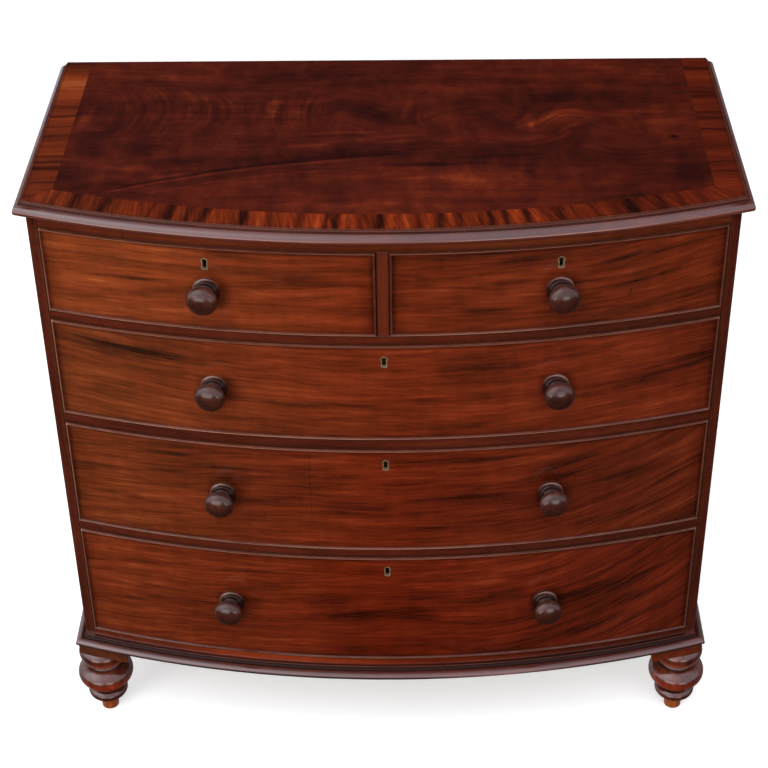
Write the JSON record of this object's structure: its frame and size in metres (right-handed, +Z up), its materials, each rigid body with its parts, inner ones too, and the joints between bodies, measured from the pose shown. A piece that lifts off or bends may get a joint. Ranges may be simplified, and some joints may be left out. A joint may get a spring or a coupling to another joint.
{
  "type": "bow front chest of drawers",
  "caption": "Bow front chest of drawers with short drawers over long graduated ones, crossbanded top, cockbeaded fronts, wooden knobs, brass keyhole surrounds and turned feet.",
  "frame": {"origin": "on the floor under the middle of the whole chest's footprint, knobs included", "axes": "+Z up, +X to the right of someone facing the front, +Y from the front to the back"},
  "size_m": [1.0514, 0.5352, 1.001],
  "materials": {
    "top_veneer": "polished figured mahogany veneer",
    "crossband": "polished mahogany crossbanding",
    "moulding": "polished dark mahogany moulding",
    "carcase_side": "polished mahogany, satin",
    "rails_and_stiles": "polished mahogany",
    "drawer_front": "polished mahogany veneer, horizontal figure",
    "cockbead": "polished mahogany bead, worn on its nose",
    "knob": "turned mahogany, dark and polished by hands",
    "foot": "turned mahogany, worn at the toe",
    "pine": "plain softwood, unfinished",
    "back_pine": "old softwood, stained by age",
    "drawer_lining": "planed softwood, aged",
    "brass": "plain lock brass",
    "old_brass": "tarnished brass",
    "steel": "filed steel bolt"
  },
  "bodies": {
    "carcase": {"top_board": "moulding", "top_field_veneer": "top_veneer", "top_crossbanding": "crossband", "side_left": "carcase_side", "side_right": "carcase_side", "front_stiles": "rails_and_stiles", "top_rail": "rails_and_stiles", "drawer_rail_upper": "rails_and_stiles", "drawer_rail_middle": "rails_and_stiles", "drawer_rail_lower": "rails_and_stiles", "bottom_rail": "rails_and_stiles", "centre_muntin": "rails_and_stiles", "centre_partition": "pine", "drawer_runners_and_stops": "pine", "dustboards": "pine", "back_boards": "back_pine", "bottom_board": "pine", "base_moulding": "moulding", "foot_blocks": "foot", "turned_feet": "foot"},
    "short_left_drawer": {"short_left_front": "drawer_front", "short_left_cockbead": "cockbead", "short_left_sides_and_back": "drawer_lining", "short_left_bottom": "drawer_lining", "short_left_knob": "knob", "short_left_lock": "brass", "short_left_escutcheon": "old_brass"},
    "short_left_bolt": {"short_left_lock_bolt": "steel"},
    "short_right_drawer": {"short_right_front": "drawer_front", "short_right_cockbead": "cockbead", "short_right_sides_and_back": "drawer_lining", "short_right_bottom": "drawer_lining", "short_right_knob": "knob", "short_right_lock": "brass", "short_right_escutcheon": "old_brass"},
    "short_right_bolt": {"short_right_lock_bolt": "steel"},
    "upper_long_drawer": {"upper_long_front": "drawer_front", "upper_long_cockbead": "cockbead", "upper_long_sides_and_back": "drawer_lining", "upper_long_bottom": "drawer_lining", "upper_long_knobs": "knob", "upper_long_lock": "brass", "upper_long_escutcheon": "old_brass"},
    "upper_long_bolt": {"upper_long_lock_bolt": "steel"},
    "middle_long_drawer": {"middle_long_front": "drawer_front", "middle_long_cockbead": "cockbead", "middle_long_sides_and_back": "drawer_lining", "middle_long_bottom": "drawer_lining", "middle_long_knobs": "knob", "middle_long_lock": "brass", "middle_long_escutcheon": "old_brass"},
    "middle_long_bolt": {"middle_long_lock_bolt": "steel"},
    "bottom_long_drawer": {"bottom_long_front": "drawer_front", "bottom_long_cockbead": "cockbead", "bottom_long_sides_and_back": "drawer_lining", "bottom_long_bottom": "drawer_lining", "bottom_long_knobs": "knob", "bottom_long_lock": "brass", "bottom_long_escutcheon": "old_brass"},
    "bottom_long_bolt": {"bottom_long_lock_bolt": "steel"}
  },
  "joints": [
    {"name": "short_left_drawer_slide", "type": "slide", "parent": "carcase", "child": "short_left_drawer", "axis": [0, -1, 0], "range_m": [0, 0.32]},
    {"name": "short_left_bolt_slide", "type": "slide", "parent": "short_left_drawer", "child": "short_left_bolt", "axis": [0, 0, 1], "range_m": [0, 0.006]},
    {"name": "short_right_drawer_slide", "type": "slide", "parent": "carcase", "child": "short_right_drawer", "axis": [0, -1, 0], "range_m": [0, 0.32]},
    {"name": "short_right_bolt_slide", "type": "slide", "parent": "short_right_drawer", "child": "short_right_bolt", "axis": [0, 0, 1], "range_m": [0, 0.006]},
    {"name": "upper_long_drawer_slide", "type": "slide", "parent": "carcase", "child": "upper_long_drawer", "axis": [0, -1, 0], "range_m": [0, 0.32]},
    {"name": "upper_long_bolt_slide", "type": "slide", "parent": "upper_long_drawer", "child": "upper_long_bolt", "axis": [0, 0, 1], "range_m": [0, 0.006]},
    {"name": "middle_long_drawer_slide", "type": "slide", "parent": "carcase", "child": "middle_long_drawer", "axis": [0, -1, 0], "range_m": [0, 0.32]},
    {"name": "middle_long_bolt_slide", "type": "slide", "parent": "middle_long_drawer", "child": "middle_long_bolt", "axis": [0, 0, 1], "range_m": [0, 0.006]},
    {"name": "bottom_long_drawer_slide", "type": "slide", "parent": "carcase", "child": "bottom_long_drawer", "axis": [0, -1, 0], "range_m": [0, 0.32]},
    {"name": "bottom_long_bolt_slide", "type": "slide", "parent": "bottom_long_drawer", "child": "bottom_long_bolt", "axis": [0, 0, 1], "range_m": [0, 0.006]}
  ]
}
